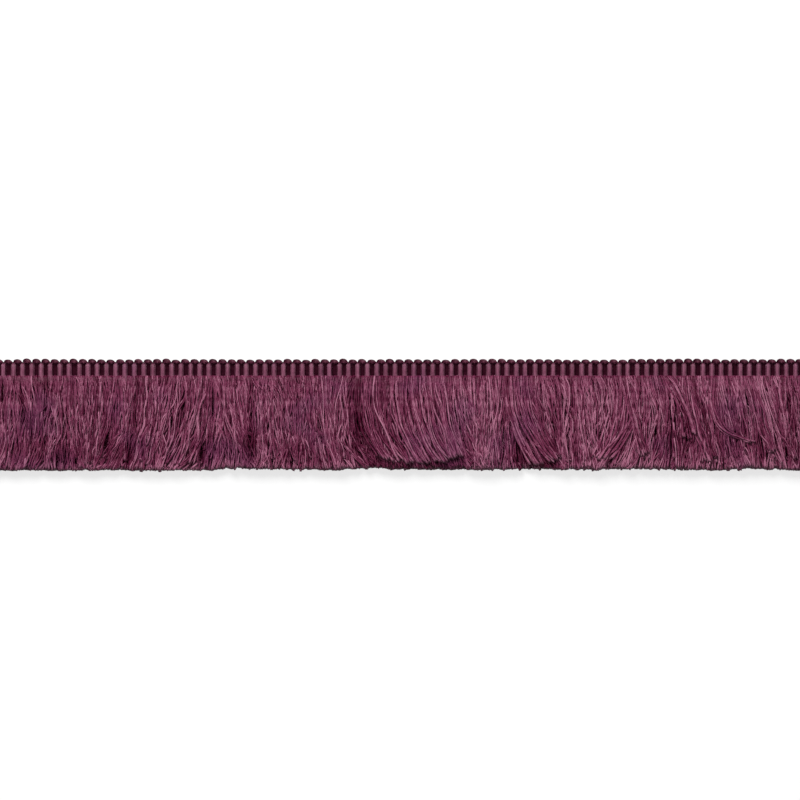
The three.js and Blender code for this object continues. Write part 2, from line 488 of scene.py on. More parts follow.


# Broad places where the skirt lies a little lower and is painted darker as painted shade (light
# below 0), or lies a little higher and is painted lighter as painted light: x, reach from the foot
# (0) to the tips (1), width, share of the length, and how strongly
hollows = table("x reach width tall light", [
    (-132.0, 0.80, 12.0, 0.18, -0.35),
    (-107.0, 0.88, 36.0, 0.15, -0.60),
    (-66.0, 0.82, 24.0, 0.16, -0.30),
    (-41.0, 0.90, 30.0, 0.12, -0.45),
    (-7.0, 0.45, 14.0, 0.60, -0.50),
    (55.0, 0.15, 22.0, 0.20, 0.40),
    (-118.0, 0.68, 14.0, 0.20, 0.35),
    (-90.0, 0.85, 20.0, 0.14, -0.45),
    (19.0, 0.90, 13.0, 0.12, -0.65),
    (124.0, 0.15, 32.0, 0.22, 0.25),
    (-103.0, 0.28, 14.0, 0.25, -0.55),
    (-70.0, 0.22, 28.0, 0.25, -0.35),
    (-34.0, 0.45, 14.0, 0.35, 0.35),
    (-18.0, 0.22, 20.0, 0.22, -0.50),
    (5.0, 0.36, 20.0, 0.22, -0.75),
    (89.0, 0.35, 13.0, 0.25, 0.50),
    (127.0, 0.82, 26.0, 0.22, -0.50),
    (-136.9, 0.22, 4.5, 0.24, -1.0),
    (-127.3, 0.57, 3.2, 0.14, -1.0),
    (-124.3, 0.88, 3.4, 0.12, 0.9),
    (-116.0, 0.84, 4.4, 0.12, -0.9),
    (-110.7, 0.87, 4.0, 0.12, -0.8),
    (-101.0, 0.70, 4.8, 0.22, -1.0),
    (-93.5, 0.83, 3.2, 0.18, -0.9),
    (-75.5, 0.80, 5.0, 0.14, 0.7),
    (-70.2, 0.52, 3.0, 0.12, 0.6),
    (-67.2, 0.78, 7.0, 0.12, -1.0),
    (-60.0, 0.92, 4.0, 0.09, 0.8),
    (-51.7, 0.74, 3.8, 0.15, -2.8),
    (-46.0, 0.90, 3.6, 0.11, 0.9),
    (-14.2, 0.60, 5.0, 0.22, -0.9),
    (-8.0, 0.95, 9.0, 0.05, -1.8),
    (2.0, 0.98, 12.0, 0.04, -1.8),
    (-7.2, 0.21, 3.0, 0.18, -0.8),
    (3.2, 0.19, 4.6, 0.16, -0.9),
    (13.5, 0.95, 12.0, 0.06, -2.8),
    (11.3, 0.74, 6.0, 0.10, 0.8),
    (21.5, 0.32, 9.0, 0.20, 0.8),
    (28.9, 0.90, 4.0, 0.12, 0.9),
    (31.5, 0.25, 4.5, 0.18, 0.6),
    (35.0, 0.65, 9.0, 0.18, 0.6),
    (49.0, 0.95, 12.0, 0.06, -3.0),
    (52.8, 0.55, 4.0, 0.24, -0.6),
    (62.0, 0.70, 22.0, 0.20, 0.4),
    (70.0, 0.50, 10.0, 0.30, 0.9),
    (80.5, 0.90, 5.0, 0.10, 0.5),
    (94.8, 0.74, 6.0, 0.18, -1.4),
    (101.0, 0.42, 11.0, 0.18, -0.5),
    (115.9, 0.56, 3.4, 0.14, -0.9),
    (128.6, 0.17, 4.5, 0.10, 0.8),
    (136.6, 0.68, 3.0, 0.18, 0.9),
])


hollowFade = 0.7


def hollowed(x, reach):
    light = np.zeros_like(x)
    for row in hollows:
        across = (x - row["x"]) / (0.5 * row["width"])
        down = (reach - row["reach"]) / row["tall"]
        light = light + row["light"] * np.exp(-hollowFade * (across**2 + down**2))
    return light


# Smooth noise from -1 to 1 along x, whose bumps are one spacing long
def drift(x, spacing, seed):
    count = 4096  # far more bumps than the longest trim has
    knots = np.random.default_rng(seed).uniform(-1, 1, count)
    place = np.asarray(x) / spacing + count / 2
    cell = np.floor(place).astype(int)
    part = place - cell
    part = part * part * (3 - 2 * part)
    return knots[cell % count] * (1 - part) + knots[(cell + 1) % count] * part


# How strong each of a number of waves is, about 1 on average and seldom much more
def strengths(rng, count):
    return rng.gamma(2.0, 0.5, count)


# The skirt's yarns hang in locks. rise is the height of its face from the heading's foot (0) to
# the tips (1); every lock keeps to its share of it.
skirt = {
    "length": 32.55,
    "rootInside": [(0, 0.3), (0.45, 0.1), (0.6, -0.24)],  # by the lift of a lock
    "rootJitter": 0.08,
    "endInset": 0.5,
    "endZone": 5.0,  # how far from the trim's cut ends the yarns begin to hang straight
    "rise": [(0, 2.35), (0.15, 2.7), (0.35, 3.2), (0.6, 3.7), (0.85, 4.0), (1, 4.0)],
    "bendPower": 1.9,
    "steepest": 0.25,  # share of each step that a yarn goes down, however far it leans
    "flat": 1.3,
    "ragged": 0.40,
    "straggling": (2.4, 0.35),  # how rare the yarns that hang out are, and how far they do
    "uneven": ((0.22, 1.3), (0.22, 6.0)),  # bumps along the hem: how high and how long
    "trimmed": 0.95,  # how far the hem was cut straight again after the locks were brushed aside
    "trimmings": 2,
    "gather": (0.0, 0.75),
    "gatherPower": 1.3,
    "lockSwing": 1.1,
    "lockLean": 1.8,
    "looseSwing": 0.7,
    "lockWave": 0.40,
    "bunchesInLock": 3,
    "bunched": 0.6,  # how far the yarns of a bunch cling together
    "bunchWave": 0.18,  # as a lean, like the two below
    "bunchWaves": (0.8, 3.6),
    "yarnWave": 0.06,
    "yarnWaves": (1.0, 4.5),
    "heightWave": 0.26,
    "heightWaves": (2.5, 6.0),
    "mostWave": 2.0,
    "settled": 0.15,  # where the yarns have left the hold of the heading
    "loosened": ((0.55, 0.06), (0.45, 0.45)),  # up and down: shares, and where each is reached
    "swaying": ((0.35, 0.06), (0.65, 0.55)),  # the same sideways
    "rootLift": 0.08,
    "lockRound": 0.8,
    "raisedAt": 0.6,
    "partedDepth": 0.6,
    "radiusSpread": (0.8, 1.2),
    "thickWave": (0.08, 11, 5),  # how much the yarns' thickness waves, down them and along the trim
    "shadeSpread": 0.07,
    "bunchShade": 0.23,
    "lockShade": 0.10,
    # painted shade at the roots, where the yarns rise towards the light, and painted light towards
    # the tips, with small steps of painted light and shade between them
    "paintedShadeAlong": [(0, -0.34), (0.04, -0.23), (0.12, -0.07), (0.24, 0.015), (0.40, -0.01),
                   (0.55, 0.03), (0.70, -0.04), (0.84, -0.03), (0.92, 0.015), (1, 0.42)],
    # painted light: the lower locks' tips are painted lighter, up to tipShade, where they come out
    # from under the face
    "tipShade": 0.55,
    "tipPaintedLight": [(0, 0), (0.82, 0), (0.95, 0.8), (1, 0.9)],  # how far lower locks reach tipShade
    # painted shade inside the partings, where the lower yarns show
    "gapPaintedShade": 0.24,
    # painted light and shade at the places of the hollows table
    "hollowPaintedShade": 0.32,
    "hollowDepth": 0.10,
    "packed": 0.15,  # how much wider the yarns lie near the heading
    "packedTo": 0.3,
    "frayed": 0.30,  # how much thicker the yarns are at their cut ends
    "frayPower": 6,
    "fullness": 0.06,  # slow swell of the skirt's height along the trim, and of its shade
}
# Layers from the surface up to the face. pitch is from lock to lock, yarns their number in a lock,
# lift the layer's share of the skirt's height, and swing, loose and parted how far it follows the
# tables above. shade is painted darker the lower the layer lies, as painted shade under the layers
# above
skirtLayers = table("piece pitch yarns radius lift swing loose parted shade", [
    ("skirtUnder", 1.6, 5, 0.45, 0.05, 0.0, 0.1, 0.0, 0.20),
    ("skirtUnder", 3.2, 5, 0.42, 0.2, 0.12, 0.5, 0.3, 0.24),
    ("skirtUnder", 3.2, 5, 0.42, 0.35, 0.25, 0.8, 0.6, 0.30),
    ("skirtMiddle", 2.6, 5, 0.36, 0.49, 0.30, 1.0, 0.9, 0.38),
    ("skirtMiddle", 2.6, 5, 0.34, 0.61, 0.50, 1.0, 1.1, 0.44),
    ("skirtInner", 2.6, 6, 0.35, 0.71, 0.8, 1.0, 1.0, 0.48),
    ("skirtInner", 2.7, 6, 0.35, 0.80, 0.88, 1.0, 1.1, 0.51),
    ("skirtFace", 2.6, 6, 0.345, 0.89, 0.95, 1.0, 1.1, 0.53),
    ("skirtFace", 3.0, 6, 0.345, 0.97, 1.0, 1.0, 1.1, 0.55),
])
skirtStations = {"skirtUnder": 10, "skirtMiddle": 16, "skirtInner": 22, "skirtFace": 24}


# Turns sideways and upward moves into paths that keep each strand's length, from root to tip
def laidOut(rootX, rootY, moveX, moveZ, lengths):
    stations = moveX.shape[1]
    stepLength = lengths[:, None] / (stations - 1)
    dx = np.diff(moveX, axis=1)
    dz = np.diff(moveZ, axis=1)
    least = (skirt["steepest"] * stepLength) ** 2
    dy = np.sqrt(np.maximum(stepLength**2 - dx**2 - dz**2, least))
    gone = np.concatenate([np.zeros((len(lengths), 1)), np.cumsum(dy, axis=1)], axis=1)
    return np.stack([rootX[:, None] + moveX, rootY[:, None] - gone, moveZ], axis=2)


# Waves along the strands, of about the same lean whatever their number. member says to which
# bunch, or to which strand, the strands belong.
def wander(rng, member, s, waves, lean):
    members = member.max() + 1
    number = rng.uniform(*waves, members)[member][:, None]
    size = lean * skirt["length"] / (2 * np.pi * number)
    size = size * np.minimum(strengths(rng, members), skirt["mostWave"])[member][:, None]
    return size * np.sin(2 * np.pi * (s * number + rng.random(members)[member][:, None]))


# Paths, radii and shades of the yarns of all the locks in a table, whose columns are arrays with
# a value for each lock
def lockYarns(locks, stations, seed):
    rng = np.random.default_rng(seed)
    owner = np.repeat(np.arange(len(locks["x"])), locks["yarns"])
    lock = {name: np.asarray(column)[owner][:, None] for name, column in locks.items()}
    count = len(owner)
    s = np.linspace(0, 1, stations)[None]
    settled = eased(s, skirt["settled"])
    loosened = sum(share * eased(s, span) for share, span in skirt["loosened"])
    swaying = sum(share * eased(s, span) for share, span in skirt["swaying"])
    # where the yarns are rooted
    place = np.concatenate([(np.arange(size) + 0.5) / size for size in locks["yarns"]])[:, None]
    spread = 2 * place - 1 + rng.uniform(-0.5, 0.5, (count, 1)) / lock["yarns"]
    inward = 0.5 * lock["width"] * spread
    rootX = lock["x"] + inward + rng.normal(0, skirt["rootJitter"], (count, 1))
    edge = np.clip((trim["end"] - np.abs(rootX)) / skirt["endZone"], 0, 1)
    lastRoot = trim["end"] - skirt["endInset"]
    rootX = np.clip(rootX, -lastRoot, lastRoot)
    # how they move sideways on their way to the tips
    swing = lock["swing"] + lock["wavy"] * rng.normal(0, skirt["looseSwing"], (count, 1))
    moveX = swing * s ** skirt["bendPower"] + lock["bow"] * np.sin(np.pi * s) + lock["lean"] * s
    waving = np.sin(2 * np.pi * (s * lock["waves"] + lock["phase"]))
    moveX = moveX + lock["wave"] * waving * settled
    moveX = moveX - inward * lock["gather"] * s ** skirt["gatherPower"]
    perLock = skirt["bunchesInLock"]
    bunch = perLock * owner + (perLock * place[:, 0]).astype(int)
    bunches = perLock * len(locks["x"])
    together = np.bincount(bunch, rootX[:, 0]) / np.maximum(np.bincount(bunch), 1)
    clinging = together[bunch][:, None] - rootX
    moveX = moveX + lock["wavy"] * skirt["bunched"] * clinging * settled
    sideways = wander(rng, bunch, s, skirt["bunchWaves"], skirt["bunchWave"])
    sideways = sideways + wander(rng, np.arange(count), s, skirt["yarnWaves"], skirt["yarnWave"])
    moveX = moveX + lock["wavy"] * sideways * swaying
    reach = s * (1 - lock["shorter"] / skirt["length"])
    moveX, inside = parted(rootX + moveX * edge, reach, lock["parted"] * edge)
    light = hollowed(moveX, reach) * lock["lit"]
    moveX = moveX - rootX
    # how high they lie
    radius = lock["radius"] * rng.uniform(*skirt["radiusSpread"], (count, 1))
    profile = np.interp(s[0], *zip(*skirt["rise"]))[None]
    high = rng.uniform(0.0, 1.0, (count, 1)) * np.sqrt(np.maximum(1 - spread**2, 0))
    lifted = rng.uniform(-skirt["rootLift"], skirt["rootLift"], (count, 1))
    moveZ = profile * lock["lift"] * (1 + lifted * (1 - settled))
    moveZ = moveZ + skirt["lockRound"] * high * settled
    weaving = wander(rng, np.arange(count), s, skirt["heightWaves"], skirt["heightWave"])
    moveZ = moveZ + lock["deep"] * weaving * loosened
    moveZ = moveZ * (1 + skirt["hollowDepth"] * np.clip(light, -1, 1))
    raisedAt = skirt["raisedAt"]
    moveZ = moveZ + lock["raise"] * np.sin(np.pi * np.minimum(s, raisedAt) / (2 * raisedAt)) ** 2
    moveZ = moveZ * (1 - skirt["partedDepth"] * inside * lock["parted"])
    moveZ = np.maximum(moveZ, radius)
    # how long they are, so that their tips meet at the hem
    held = np.interp(lock["lift"][:, 0], *zip(*skirt["rootInside"]))
    rootY = trim["headingFoot"] + held
    ragged = rng.normal(size=count)
    rare, out = skirt["straggling"]
    ragged = np.where(ragged < -rare, out * ragged, np.abs(ragged))
    hanging = skirt["length"] - lock["shorter"][:, 0] - skirt["ragged"] * ragged
    tipX = rootX[:, 0] + moveX[:, -1]
    hanging = hanging + fromTable(tipX, "hem")
    for bump, (size, spacing) in enumerate(skirt["uneven"]):
        hanging = hanging - size * drift(tipX, spacing, bump)
    lengths = hanging + held
    for trimming in range(skirt["trimmings"]):
        tipY = laidOut(rootX[:, 0], rootY, moveX, moveZ, lengths)[:, -1, 1]
        lengths = lengths + lock["trimmed"][:, 0] * (tipY - trim["headingFoot"] + hanging)
    paths = laidOut(rootX[:, 0], rootY, moveX, moveZ, lengths)
    # how thick they are, and their shade: random tone, with painted shade and light along them, in
    # the hollows and in the partings, and painted light on the lower locks' tips
    depth, down, along = skirt["thickWave"]
    radii = radius * (1 + depth * np.sin(down * s + along * rootX))
    radii = radii * (1 + skirt["frayed"] * s ** skirt["frayPower"])
    radii = radii * (1 + skirt["packed"] * (1 - eased(s, skirt["packedTo"])))
    shades = lock["shade"] + rng.normal(0, skirt["shadeSpread"], (count, 1))
    shades = shades + rng.normal(0, skirt["bunchShade"], bunches)[bunch][:, None]
    shades = shades + np.interp(s, *zip(*skirt["paintedShadeAlong"])) + skirt["hollowPaintedShade"] * light
    lacking = np.maximum(skirt["tipShade"] - lock["shade"], 0)
    shades = shades + lacking * np.interp(s, *zip(*skirt["tipPaintedLight"])) - skirt["gapPaintedShade"] * inside
    return paths, radii, np.clip(shades, 0, 1)


# How the locks of a layer differ from one another
layered = {
    "placing": 0.3,
    "swingDrift": 0.9,
    "swingLength": 6.0,
    "swellLength": 9.0,
    "abovePower": 6,  # only the top layers stay above the hem
    "widths": (0.8, 1.5),
    "bowSpread": 0.4,
    "waves": (0.9, 2.2),
    "liftSpread": 0.035,
    "shorter": (0.0, 0.25),
    # painted light: where the skirt swells higher, its locks are painted lighter by this share
    "swellPaintedLight": 0.8,
}


def layerLocks(layer, seed):
    rng = np.random.default_rng(seed)
    count = round(2 * trim["end"] / layer["pitch"])
    loose = layer["loose"]
    x = (np.arange(count) + 0.5) * layer["pitch"] - trim["end"]
    x = x + rng.uniform(-layered["placing"], layered["placing"], count) * layer["pitch"] * loose
    wandering = drift(x, layered["swingLength"], seed + seeds["layerSwing"])
    swing = layer["swing"] * fromTable(x, "tip") + layered["swingDrift"] * loose * wandering
    swell = skirt["fullness"] * drift(x, layered["swellLength"], seeds["swell"])
    above = layer["lift"] ** layered["abovePower"] * fromTable(x, "above")
    bow = layer["swing"] * fromTable(x, "bow")
    shade = layer["shade"] + layered["swellPaintedLight"] * swell
    return {
        "x": x,
        "yarns": rng.integers(layer["yarns"] - 1, layer["yarns"] + 2, count),
        "width": layer["pitch"] * rng.uniform(*layered["widths"], count),
        "swing": swing + loose * rng.normal(0, skirt["lockSwing"], count),
        "bow": bow + loose * rng.normal(0, layered["bowSpread"], count),
        "lean": loose * rng.normal(0, skirt["lockLean"], count),
        "parted": np.full(count, layer["parted"]),
        "lit": np.full(count, 1.0),
        "wave": loose * skirt["lockWave"] * strengths(rng, count),
        "waves": rng.uniform(*layered["waves"], count),
        "phase": rng.random(count),
        "wavy": np.full(count, loose),
        "deep": np.full(count, loose),
        "gather": loose * rng.uniform(*skirt["gather"], count),
        "lift": layer["lift"] * (1 + swell) + rng.normal(0, layered["liftSpread"], count),
        "raise": np.zeros(count),
        "shorter": rng.uniform(*layered["shorter"], count) + above,
        "radius": np.full(count, layer["radius"]),
        "trimmed": np.full(count, skirt["trimmed"]),
        "shade": shade + rng.normal(0, skirt["lockShade"], count),
    }


skirtMaterial = yarnMaterial("skirtYarn", skirtFinish)
for pieceName, stations in skirtStations.items():
    built = []
    for number, layer in enumerate(skirtLayers):
        if layer["piece"] == pieceName:
            locks = layerLocks(layer, seeds["layers"] + number)
            built.append(lockYarns(locks, stations, seeds["layerYarns"] + number))
    parts = [np.concatenate(column) for column in zip(*built)]
    skirtPiece = strandMesh(pieceName, *parts, sides=3, material=skirtMaterial, flat=skirt["flat"])
    print(pieceName, len(parts[2]), "yarns")
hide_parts("skirt")

# Groups of locks that were brushed sideways over the rest: rows give the first and the last lock
sweeps = table("x locks tip bow shorter", [
    ((-14.0, -5.0), 5, (5.5, 9.8), (-1.4, -1.0), (3.6, 2.0)),
    ((-4.0, 7.0), 6, (8.6, 8.4), (-1.2, -0.6), (1.8, 3.2)),
    ((8.0, 14.0), 4, (8.4, 6.4), (-0.4, 1.0), (3.6, 4.6)),
    ((36.6, 38.6), 2, (7.6, 9.6), (-1.0, -0.4), (1.2, 1.6)),
    ((39.6, 45.5), 5, (12.4, 9.6), (-0.6, 0.6), (2.2, 4.6)),
    ((71.5, 80.5), 6, (-4.0, -9.4), (1.6, 2.4), (3.2, 3.8)),
    ((76.5, 79.0), 2, (6.5, 6.8), (0.8, 1.2), (4.0, 6.0)),
    ((90.5, 92.5), 2, (7.6, 8.4), (2.6, 3.2), (10.0, 13.0)),
    ((98.8, 100.4), 2, (7.4, 8.2), (0.4, 0.8), (2.5, 4.0)),
    ((119.0, 121.5), 2, (6.8, 7.4), (1.0, 1.5), (5.0, 7.0)),
    ((107.5, 108.5), 1, (11.6, 11.6), (-2.2, -2.2), (9.2, 9.2)),
])
sweep = {
    "yarns": 5,
    "placing": 0.2,
    "width": 3.2,
    "widths": (0.8, 1.2),
    "swingSpread": 0.4,
    "lit": 0.35,
    "wavy": 0.6,
    "deep": 0.8,
    "wave": 0.15,
    "waves": (0.9, 1.6),
    "gather": (0.1, 0.5),
    "radius": 0.28,
    "lift": 1.02,
    "liftSpread": 0.03,
    "raise": 0.9,
    "raises": (0.7, 1.3),
    "shorterSpread": 0.15,
    "shade": 0.55,
    "shadeSpread": 0.05,
}
looseStations = 25


def sweptLocks():
    rng = np.random.default_rng(seeds["swept"])
    columns = {name: [] for name in ("x", "tip", "bow", "shorter")}
    for row in sweeps:
        share = (np.arange(row["locks"]) + 0.5) / row["locks"]
        for name, column in columns.items():
            first, last = row[name]
            column.extend(first + (last - first) * share)
    count = len(columns["x"])
    return {
        "x": np.array(columns["x"]) + rng.normal(0, sweep["placing"], count),
        "yarns": rng.integers(sweep["yarns"] - 1, sweep["yarns"] + 2, count),
        "width": sweep["width"] * rng.uniform(*sweep["widths"], count),
        "swing": np.array(columns["tip"]) + rng.normal(0, sweep["swingSpread"], count),
        "bow": np.array(columns["bow"]),
        "lean": np.zeros(count),
        "parted": np.zeros(count),
        "lit": np.full(count, sweep["lit"]),
        "wavy": np.full(count, sweep["wavy"]),
        "deep": np.full(count, sweep["deep"]),
        "wave": sweep["wave"] * strengths(rng, count),
        "waves": rng.uniform(*sweep["waves"], count),
        "phase": rng.random(count),
        "gather": rng.uniform(*sweep["gather"], count),
        "lift": sweep["lift"] + rng.normal(0, sweep["liftSpread"], count),
        "raise": sweep["raise"] * rng.uniform(*sweep["raises"], count),
        "shorter": np.array(columns["shorter"]) + rng.normal(0, sweep["shorterSpread"], count),
        "radius": np.full(count, sweep["radius"]),
        "trimmed": np.full(count, skirt["trimmed"]),
        "shade": sweep["shade"] + rng.normal(0, sweep["shadeSpread"], count),
    }


# Stray locks and single yarns that lie loosely over the face
stray = {
    "locks": 230,
    "yarns": (1, 4),  # from the first number to just below the second
    "endGap": 3.0,
    "widths": (0.5, 1.3),
    "swing": 1.2,
    "bow": 0.5,
    "lean": 0.8,
    "lit": 0.8,
    "wavy": 0.6,
    "deep": 1.5,
    "wave": 0.25,
    "waves": (0.7, 1.6),
    "gather": (-0.3, 0.8),
    "radius": (0.16, 0.26),
    "lift": 0.98,
    "liftSpread": 0.03,
    "raise": 0.2,
    "raises": (0.2, 1.3),
    "shorter": 4.0,
    "shade": 0.60,
    "shadeSpread": 0.08,
}


def strayLocks():
    rng = np.random.default_rng(seeds["stray"])
    count = stray["locks"]
    last = trim["end"] - stray["endGap"]
    x = rng.uniform(-last, last, count)
    return {
        "x": x,
        "yarns": rng.integers(*stray["yarns"], count),
        "width": rng.uniform(*stray["widths"], count),
        "swing": fromTable(x, "tip") + rng.normal(0, stray["swing"], count),
        "bow": rng.normal(0, stray["bow"], count),
        "lean": rng.normal(0, stray["lean"], count),
        "parted": np.zeros(count),
        "lit": np.full(count, stray["lit"]),
        "wavy": np.full(count, stray["wavy"]),
        "deep": np.full(count, stray["deep"]),
        "wave": stray["wave"] * strengths(rng, count),
        "waves": rng.uniform(*stray["waves"], count),
        "phase": rng.random(count),
        "gather": rng.uniform(*stray["gather"], count),
        "lift": stray["lift"] + rng.normal(0, stray["liftSpread"], count),
        "raise": stray["raise"] * rng.uniform(*stray["raises"], count),
        "shorter": stray["shorter"] * rng.random(count) ** 2,
        "radius": rng.uniform(*stray["radius"], count),
        "trimmed": np.full(count, skirt["trimmed"]),
        "shade": stray["shade"] + rng.normal(0, stray["shadeSpread"], count),
    }


for pieceName, locks in (("skirtSwept", sweptLocks()), ("skirtStray", strayLocks())):
    parts = lockYarns(locks, looseStations, seeds["looseYarns"])
    piece = strandMesh(pieceName, *parts, sides=4, material=skirtMaterial, flat=skirt["flat"])
    print(pieceName, len(parts[2]), "yarns")

# Ribs: the same yarn crosses the heading in satin bundles and runs on into the skirt
ribs = {
    "offsets": (-0.67, -0.33, 0.0, 0.33, 0.67),
    "drops": (0.55, 0.12, 0.0, 0.12, 0.55),
    "radius": 0.24,
    "placing": 0.06,
    "overTop": 0.3,  # how far the yarns reach past the heading's top, under the loops
    "topDive": 0.5,
    "topSteep": 6,
    "headingStations": 5,
    "skirtStations": 8,
    "inSkirt": (3.0, 12.0),
    "swing": 1.05,
    "swingDrift": 0.6,
    "swingLength": 3.0,
    "swingSpread": 0.4,
    "wave": 0.2,
    "waveLength": 1.0,
    "fall": 22,  # how soon the yarns come down from the rib to the skirt's face
    "sink": 2.3,
    "sinkPower": 1.5,
    "shade": 0.56,
    "ribSpread": 0.05,
    "yarnSpread": 0.06,
    "flank": 0.5,  # yarns further out than this lie on the rib's flanks, in its shadow
    # painted shade on the flank yarns, on top of the real shade that their lower place gives them
    "flankShade": 0.32,
    # painted light and shade along the ribs: lighter towards the foot and fading out below it,
    # darker at the top where the rib bends towards the light
    "fading": 2,  # how far below the foot the yarns have faded to the skirt's shade
    "topShadow": 1.6,
    "paintedShadeAlong": (0.0, 0.06, 0.04, -0.09),
}


def ribYarns():
    rng = np.random.default_rng(seeds["ribs"])
    middles = -trim["end"] + (np.arange(ribCount) + 0.5) * trim["ribPitch"]
    middles = middles + rng.normal(0, ribs["placing"], ribCount)
    offsets = np.tile(ribs["offsets"], ribCount)
    drops = np.tile(ribs["drops"], ribCount)
    middle = np.repeat(middles, len(ribs["offsets"]))
    rootX = middle + offsets
    count = len(rootX)
    top = trim["headingTop"] + ribs["overTop"]
    foot = trim["headingFoot"]
    crest = trim["ribTop"] - ribs["radius"] - drops
    # across the heading
    s1 = np.linspace(0, 1, ribs["headingStations"], endpoint=False)
    y1 = top + (foot - top) * s1
    ease = np.minimum(1, ribs["topSteep"] * s1)
    headPart = np.stack(
        [
            np.broadcast_to(rootX[:, None], (count, len(s1))),
            np.broadcast_to(y1[None], (count, len(s1))),
            crest[:, None] - ribs["topDive"] * (1 - ease)[None] ** 2,
        ],
        axis=2,
    )
    # on into the skirt, until they sink among its yarns
    s2 = np.linspace(0, 1, ribs["skirtStations"])[None]
    inSkirt = rng.uniform(*ribs["inSkirt"], count)
    reach = s2 * (inSkirt / skirt["length"])[:, None]
    drifting = ribs["swingDrift"] * drift(rootX, ribs["swingLength"], seeds["ribSwing"])
    swing = ribs["swing"] * fromTable(rootX, "tip") + drifting
    swing = swing + rng.normal(0, ribs["swingSpread"], count)
    waving = ribs["wave"] * drift(rootX, ribs["waveLength"], seeds["ribWave"])
    moveX = swing[:, None] * reach ** skirt["bendPower"]
    moveX = moveX + waving[:, None] * np.minimum(4 * s2, 1)
    profile = np.interp(reach, *zip(*skirt["rise"]))
    start = np.exp(-reach * ribs["fall"])
    moveZ = start * crest[:, None] + (1 - start) * profile
    moveZ = moveZ - ribs["sink"] * s2 ** ribs["sinkPower"]
    body = laidOut(rootX, np.full(count, foot), moveX, moveZ, inSkirt)
    paths = np.concatenate([headPart, body], axis=1)
    radii = np.full(paths.shape[:2], ribs["radius"])
    ribShade = np.repeat(rng.normal(0, ribs["ribSpread"], ribCount), len(ribs["offsets"]))
    shades = ribs["shade"] + ribShade + rng.normal(0, ribs["yarnSpread"], count)
    shades = shades - ribs["flankShade"] * (np.abs(offsets) > ribs["flank"])
    places = [foot - ribs["fading"], foot, top - ribs["topShadow"], top]
    along = np.interp(paths[0, :, 1], places, ribs["paintedShadeAlong"])
    return paths, radii, np.clip(shades[:, None] + along, 0, 1)


ribMaterial = yarnMaterial("ribYarn", ribFinish)
ribPiece = strandMesh("headingRibs", *ribYarns(), sides=4, material=ribMaterial)
print("the heading's ribs are laid")

# Ground of the heading: a dark woven band with a low core under each rib
ground = {
    "thickness": 1.3,
    "coreHalfWidth": 0.62,
    "coreRise": 0.75,
    "threadPitch": 0.45,
    "threadShare": 0.25,
    "mottleScale": 900.0,
    "bump": (0.6, 0.08),  # strength, and depth in millimetres
    "stops": [(0.2, (0.014, 0.0015, 0.005)), (0.9, (0.034, 0.006, 0.013))],
    "finish": {"roughness": 0.8, "specular": 0.0},
}


def groundBand():
    band = bmesh.new()
    left, pitch = -trim["end"], trim["ribPitch"]
    bmesh.ops.create_cube(band, size=1)
    height = trim["headingTop"] - trim["headingFoot"]
    size = Vector((2 * trim["end"], height, ground["thickness"]))
    bmesh.ops.scale(band, vec=size * mm, verts=band.verts)
    middleY = (trim["headingTop"] + trim["headingFoot"]) / 2
    place = Vector((0, middleY, ground["thickness"] / 2)) * mm
    bmesh.ops.translate(band, vec=place, verts=band.verts)
    for rib in range(ribCount):
        middle = left + (rib + 0.5) * pitch
        for flank in (-1, 1):
            everything = band.verts[:] + band.edges[:] + band.faces[:]
            cut = (middle + flank * ground["coreHalfWidth"]) * mm
            bmesh.ops.bisect_plane(
                band, geom=everything, dist=1e-7, plane_co=(cut, 0, 0), plane_no=(1, 0, 0)
            )
    cores = []
    for face in band.faces:
        near = (face.calc_center_median().x / mm - left) / pitch - 0.5
        isUnderRib = abs(near - round(near)) * pitch < ground["coreHalfWidth"] / 2
        if face.normal.z > 0.9 and face.calc_area() > 0 and isUnderRib:
            cores.append(face)
    raised = bmesh.ops.extrude_discrete_faces(band, faces=cores)
    risen = [v for f in raised["faces"] for v in f.verts]
    bmesh.ops.translate(band, vec=(0, 0, ground["coreRise"] * mm), verts=list(set(risen)))
    bmesh.ops.recalc_face_normals(band, faces=band.faces[:])
    mesh = bpy.data.meshes.new("headingGround")
    band.to_mesh(mesh)
    band.free()
    piece = bpy.data.objects.new("headingGround", mesh)
    bpy.context.collection.objects.link(piece)
    material, shader, wire = newMaterial("groundWeave", ground["finish"])
    place = wire.make("ShaderNodeTexCoord", out="Object")
    split = wire.make("ShaderNodeSeparateXYZ", {}, {0: place})
    across = Wire(wire.tree, split.socket.node.outputs[1])
    threads = wire.math("SINE", across * (2 * math.pi / (ground["threadPitch"] * mm)))
    spotted = {"Vector": place, "Scale": ground["mottleScale"]}
    mottle = wire.make("ShaderNodeTexNoise", {}, spotted)
    colour = (threads * ground["threadShare"] + mottle).ramp(ground["stops"])
    plug(colour, shader, "Base Color")
    strength, depth = ground["bump"]
    plug((threads + mottle).bumped(strength, depth * mm), shader, "Normal")
    mesh.materials.append(material)
    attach(piece, "root")
    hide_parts("heading")


groundBand()
print("the heading's ground is woven")

